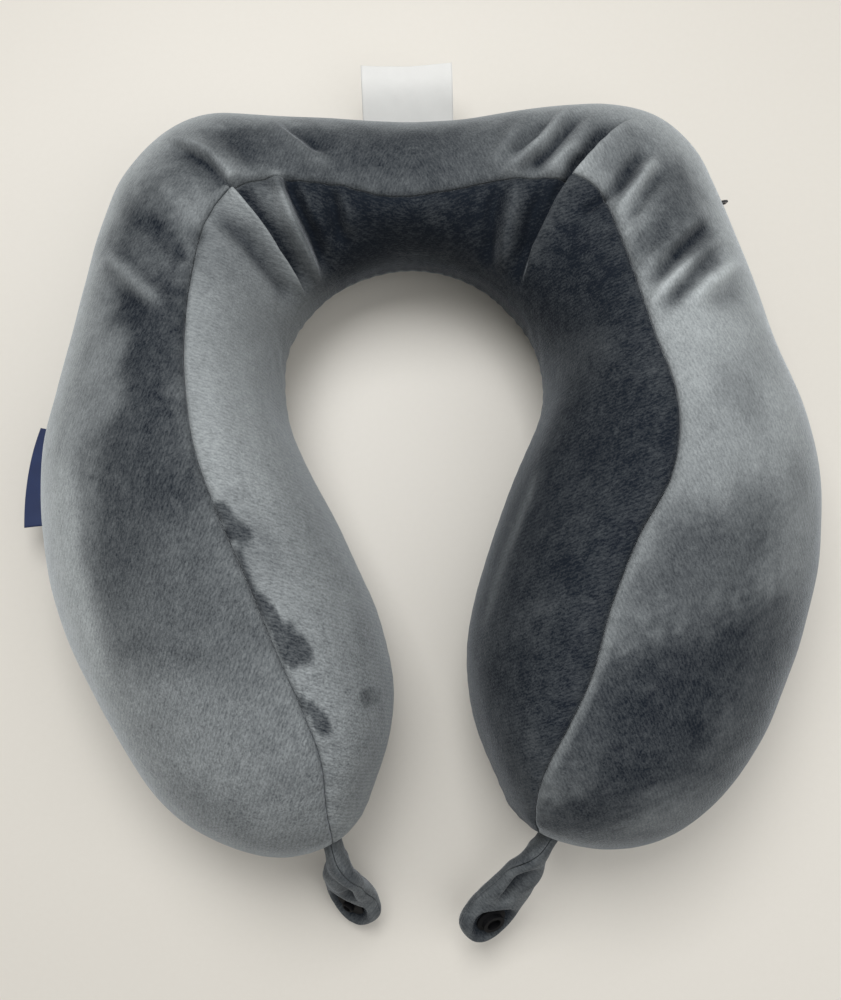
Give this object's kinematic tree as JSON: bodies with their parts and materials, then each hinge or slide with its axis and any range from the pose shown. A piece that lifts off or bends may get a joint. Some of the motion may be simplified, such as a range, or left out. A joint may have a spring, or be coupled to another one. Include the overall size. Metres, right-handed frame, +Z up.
{
  "type": "u-shaped neck pillow",
  "caption": "U-shaped foam neck pillow in a zipped plush cover, with a flat base, padded lobes and snap tabs that close the front.",
  "frame": {"origin": "on the flat base, under the middle of the back", "axes": "+Y to the back, the lobes towards -Y, +X to the wearer's side with the zipper, +Z up from the flat base"},
  "size_m": [0.3126, 0.3551, 0.1146],
  "materials": {
    "plush": "short grey-blue velour pile",
    "foam": "moulded foam",
    "zip_tape": "woven tape",
    "zip_teeth": "moulded plastic",
    "zip_metal": "dark metal",
    "snap_plastic": "black plastic",
    "care_label": "white satin ribbon",
    "side_label": "woven navy ribbon"
  },
  "bodies": {
    "pillow": {"foam_core": "foam", "cover_outer_panel": "plush", "cover_neck_panel": "plush", "cover_base_panel": "plush", "zipper_tape_upper": "zip_tape", "zipper_tape_lower": "zip_tape", "zipper_teeth_upper": "zip_teeth", "zipper_teeth_lower": "zip_teeth", "zipper_top_stop": "zip_metal", "zipper_bottom_stop": "zip_metal"},
    "zip_slider": {"zipper_slider": "zip_metal"},
    "zip_pull": {"zipper_pull": "zip_metal"},
    "left_tab": {"left_tab_outer_layer": "plush", "left_tab_inner_layer": "plush", "left_snap_stud": "snap_plastic", "left_snap_cap": "snap_plastic"},
    "right_tab": {"right_tab_outer_layer": "plush", "right_tab_inner_layer": "plush", "right_snap_socket": "snap_plastic", "right_snap_cap": "snap_plastic"},
    "care_label": {"care_label": "care_label"},
    "side_label": {"side_label": "side_label"}
  },
  "joints": [
    {"name": "zip_slide", "type": "slide", "parent": "pillow", "child": "zip_slider", "axis": [0.2729, -0.962, 0], "range_m": [0, 0.087]},
    {"name": "pull_swing", "type": "hinge", "parent": "zip_slider", "child": "zip_pull", "pos_m": [0.1161, -0.00763, 0.02427], "axis": [-0.2375, -0.0674, -0.969], "range_deg": [-75, 75]},
    {"name": "left_tab_swing", "type": "hinge", "parent": "pillow", "child": "left_tab", "pos_m": [-0.03895, -0.26046, 0.0468], "axis": [0, 0, 1], "range_deg": [-50, 40]},
    {"name": "right_tab_swing", "type": "hinge", "parent": "pillow", "child": "right_tab", "pos_m": [0.03895, -0.26046, 0.0468], "axis": [0, 0, 1], "range_deg": [-40, 60]},
    {"name": "care_label_flip", "type": "hinge", "parent": "pillow", "child": "care_label", "pos_m": [-0.00095, 0.02154, 0.0238], "axis": [1, 0, 0], "range_deg": [-50, 30], "stiffness_Nm_per_rad": 0.0005},
    {"name": "side_label_flip", "type": "hinge", "parent": "pillow", "child": "side_label", "pos_m": [-0.14641, -0.11187, 0.0238], "axis": [0.1466, 0.9892, 0], "range_deg": [-60, 60], "stiffness_Nm_per_rad": 0.0005}
  ]
}
